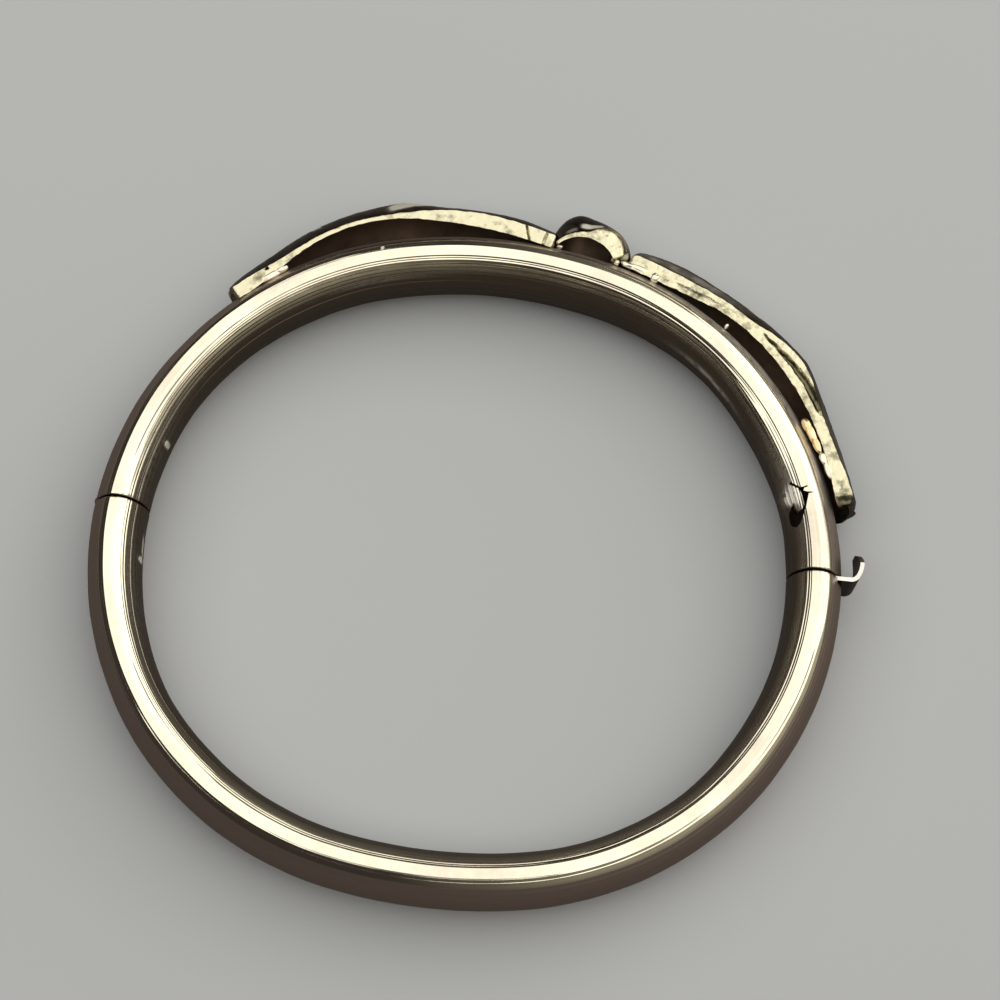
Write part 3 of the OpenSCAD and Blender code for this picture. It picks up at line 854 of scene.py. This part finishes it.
def right_leaf_level(s, out):
    """Height of the right leaf's rim: the open gap, a shallow joint before it and the lower foot."""
    stations = [14, 16, 19.2, 22]
    middle = np.interp(s, stations, [0.87, 0.92, 1.16, 1.06])
    width = np.interp(s, stations, [0.1, 0.16, 0.3, 0.3])
    depth = np.interp(s, [13.6, 14.6, 21, 23], [0, 0.45, 0.6, 0])
    foot = 0.35 * np.clip((s - 30.3) / 0.4, 0, 1)
    return (-depth * np.exp(-((out - middle) / width) ** 4)
            - 0.1 * ridge(out, 0.6, 0.08) * ridge(s, 7, 3.5) - foot)


right_leaf = stamped_strip(
    "right_leaf", right_leaf_path,
    rim=steps((0, 1.5), (4.8, 1.44), (8, 1.21), (10.4, 1.06), (12.8, 1.09), (14.4, 1.5), (16, 1.78),
              (17.6, 1.95), (19.2, 1.8), (20.8, 1.45), (22.4, 1.1), (25.6, 1.05), (28.8, 1.4), (31.2, 1.7)),
    reach=steps((0, 2.7), (1.6, 3.1), (6.4, 3.2), (8.6, 2.85), (16, 2.86), (17.6, 2.95), (20.8, 2.35),
                (24, 2.06), (31.2, 2.2)),
    relief=veins(spacing=4.2, slant=2, height=0.04), level=right_leaf_level,
    end_round=0.7, roughness=0.06, seed=11,
    dirt_and_shade=steps((0, -0.02), (6, 0), (12, 0.08), (20, 0.04), (26, 0.02), (29.6, 0.06), (30.4, 0.3),
                (31.2, 0.4)),
    painted_highlights=[(5, 6.4, 0.78, 0.2, 0, 0.6), (11.9, 0.8, 0.4, 0.16, 0, 1.2), (26, 4.5, 0.75, 0.25, 0, 0.4)])
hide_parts("front_half")
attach(right_leaf, "front")

# ---- Knob ----
# A hollow boss of stamped gilt sheet between the leaves: smooth and dark to the left, where its
# sheet is painted dark as a dark reflection, crumpled and thick with solder to the right.
knob_path = follow(start=(82.65, 2.01, 53.1), rows=[(3.2, 111.6)], step=0.05)


def knob_level(s, out):
    """Height of the knob's rim, which falls away outwards."""
    return -0.1 * np.clip(out - 0.3, 0, 3) ** 2 + 0 * s


knob = stamped_strip(
    "knob", knob_path,
    rim=steps((0, 0.3), (1.2, 0.4), (2.4, 0.52), (3, 0.68), (3.6, 1.25), (4.2, 1.62), (4.8, 1.74),
              (5.4, 1.45), (6.23, 0.95)),
    reach=steps((0, 0.8), (0.6, 1.66), (1.2, 2.4), (1.8, 3.05), (2.4, 3.3), (3, 3.04), (3.6, 2.86),
                (4.8, 2.6), (5.4, 2.4), (6.23, 1.8)),
    relief=veins(spacing=9, slant=0, height=0.02), level=knob_level,
    end_round=0.15, roughness=0.06, seed=23,
    dirt_and_shade=lambda s: 0.12 - 0.02 * s,
    painted_highlights=[(1.6, 0.5, 0.92, 0.05, 0, 0.7), (3, 0.7, 0.86, 0.07, 0.02, 2), (5.2, 1.4, 0.55, 0.45, 0, 0.75)])
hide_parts("front_half")
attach(knob, "front")


# ---- Solder ----
# Lumps of hard solder that ran along the joints and froze there: white by the knob, at the post
# that holds the right leaf off the band and at both leaves' feet, yellow at the right leaf's foot
# besides, and dull between the knob and the right leaf.
def solder_lumps(name, metal, rows):
    """Smooth lumps, one a row: turn, offset, height over the middle, half sizes along, out and up."""
    unevenness, lump_waves, apart = 0.14, 1.4, 7.1
    points, faces = [], []
    for i, (turn, offset, height, along, out, up) in enumerate(rows):
        lump = bmesh.new()
        bmesh.ops.create_icosphere(lump, subdivisions=4, radius=1)
        first = len(points)
        x, y = front.place(turn, offset)
        c, s = math.cos(math.radians(turn)), math.sin(math.radians(turn))
        for vertex in lump.verts:
            wave = noise.noise(vertex.co * lump_waves + Vector((i * apart, 0, 0)))
            p = vertex.co * (1 + unevenness * wave)
            points.append((x + p.x * along * s + p.y * out * c, y - p.x * along * c + p.y * out * s,
                           mid + height + p.z * up))
        faces += [tuple(first + vertex.index for vertex in face.verts)[::-1] for face in lump.faces]
        lump.free()
    return new_piece(name, points, faces, [metal], smooth_angle=180)


def hard_solder(name, bright, dull):
    """Hard solder as it froze: a smooth bright skin, a little darker in spots about 1 mm wide."""
    return stained_metal(name, spots_per_mm=1.1, detail=4, colours=(bright, dull), metallic=1, roughness=0.28)


white_solder = solder_lumps("white_solder", hard_solder("hard_solder_white", "#F6F0E0", "#C4BCA6"), [
    (74.4, 2.02, 2.7, 0.3, 0.27, 0.3), (72.3, 2.16, 2.75, 0.8, 0.3, 0.3), (70.2, 2.24, 2.8, 1.15, 0.32, 0.3),
    (67.3, 2.1, 2.8, 0.45, 0.5, 0.35), (82.5, 2.3, 2, 0.35, 0.3, 0.3), (52.5, 2.27, 2.35, 0.24, 0.3, 0.3),
    (24, 2.44, 2.7, 0.75, 0.36, 0.3), (22, 2.56, 2.7, 1, 0.4, 0.3), (124, 2, 2.75, 0.7, 0.32, 0.3),
    (126.2, 1.94, 2.75, 1.2, 0.36, 0.3),
])
yellow_solder = solder_lumps("yellow_solder", hard_solder("hard_solder_yellow", "#FBE8C2", "#C4A670"), [
    (30.3, 2.3, 2.68, 0.75, 0.42, 0.35), (28.6, 2.34, 2.7, 1.1, 0.44, 0.35),
    (26.6, 2.36, 2.7, 0.95, 0.38, 0.35),
])
dull_solder = solder_lumps("dull_solder", hard_solder("hard_solder_dull", "#A39C86", "#56503F"), [
    (73.5, 2.9, 2.3, 0.5, 0.6, 0.5), (74.1, 3.5, 1.9, 0.5, 0.5, 0.6), (75.2, 2.5, 1.9, 0.5, 0.5, 0.5),
])
for lumps in (white_solder, yellow_solder, dull_solder):
    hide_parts("front_half")
    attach(lumps, "front")

# ---- Hinge and clasp ----
# Brass plugs close the tube's ends. At the hinge they carry the barrel, which turns on a steel
# pin, and at the clasp a folded spring, whose moving leaf ends in the thumb tab, slips into a
# slotted plate. Their solids are right as they are, so they keep their shape and get finishes.

# Turned and filed brass, never gilt: brown with tarnish in spots of 0.8 mm, and painted nearly
# black so that it lies dark in the seams, as painted shade.
turned_brass_shaded = stained_metal(
    "turned_brass_shaded", spots_per_mm=1.2, detail=5, colours=("#2B241C", "#5A4E3C"), metallic=1,
    roughness=0.45)

# Hard drawn wire: plain grey, satin, with dirt in spots of 0.7 mm, coarser than they are.
drawn_steel_wire = stained_metal(
    "drawn_steel_wire", spots_per_mm=1.5, detail=4, colours=("#8C8A86", "#5B5753"), metallic=1,
    roughness=0.35)

# Gilt spring brass, coloured by which way each face points: what faces up, the edges that thumbs
# rub, is bright and silvery as a painted highlight, with worn patches about a millimetre wide, and
# the other faces nearly black as painted shade.
highlight_patch_count = 0.9
spring_brass = empty_material("spring_brass_lit_and_shaded")
tree = spring_brass.node_tree
space = add(tree, "ShaderNodeTexCoord")
highlight_patches = add(tree, "ShaderNodeTexNoise", {
    "Vector": space.outputs["Object"], "Scale": per_mm(highlight_patch_count), "Detail": 5})
facing = add(tree, "ShaderNodeNewGeometry")
upward = add(tree, "ShaderNodeSeparateXYZ", {"Vector": facing.outputs["True Normal"]})
facing_up_lit = add(tree, "ShaderNodeMapRange", {"Value": upward.outputs["Z"], "From Min": 0.3, "From Max": 0.8})
worn_highlight = add(tree, "ShaderNodeMixRGB", {
    "Fac": highlight_patches.outputs["Fac"], "Color1": linear("#E6E4E0"), "Color2": linear("#B2ABA2")})
colour = add(tree, "ShaderNodeMixRGB", {
    "Fac": facing_up_lit.outputs[0], "Color1": linear("#302A27"), "Color2": worn_highlight.outputs[0]})
shine = add(tree, "ShaderNodeBsdfPrincipled", {
    "Base Color": colour.outputs[0], "Metallic": 1, "Roughness": 0.24})
add(tree, "ShaderNodeOutputMaterial", {"Surface": shine.outputs[0]})

finishes = {
    "hinge_plug_front": turned_brass_shaded, "hinge_plug_back": turned_brass_shaded, "hinge_pin": drawn_steel_wire,
    "catch_plate": turned_brass_shaded, "clasp_tongue": turned_brass_shaded, "thumb_leaf": spring_brass,
}
for node, finish in finishes.items():
    node_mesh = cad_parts[node].data
    node_mesh.materials.clear()
    node_mesh.materials.append(finish)
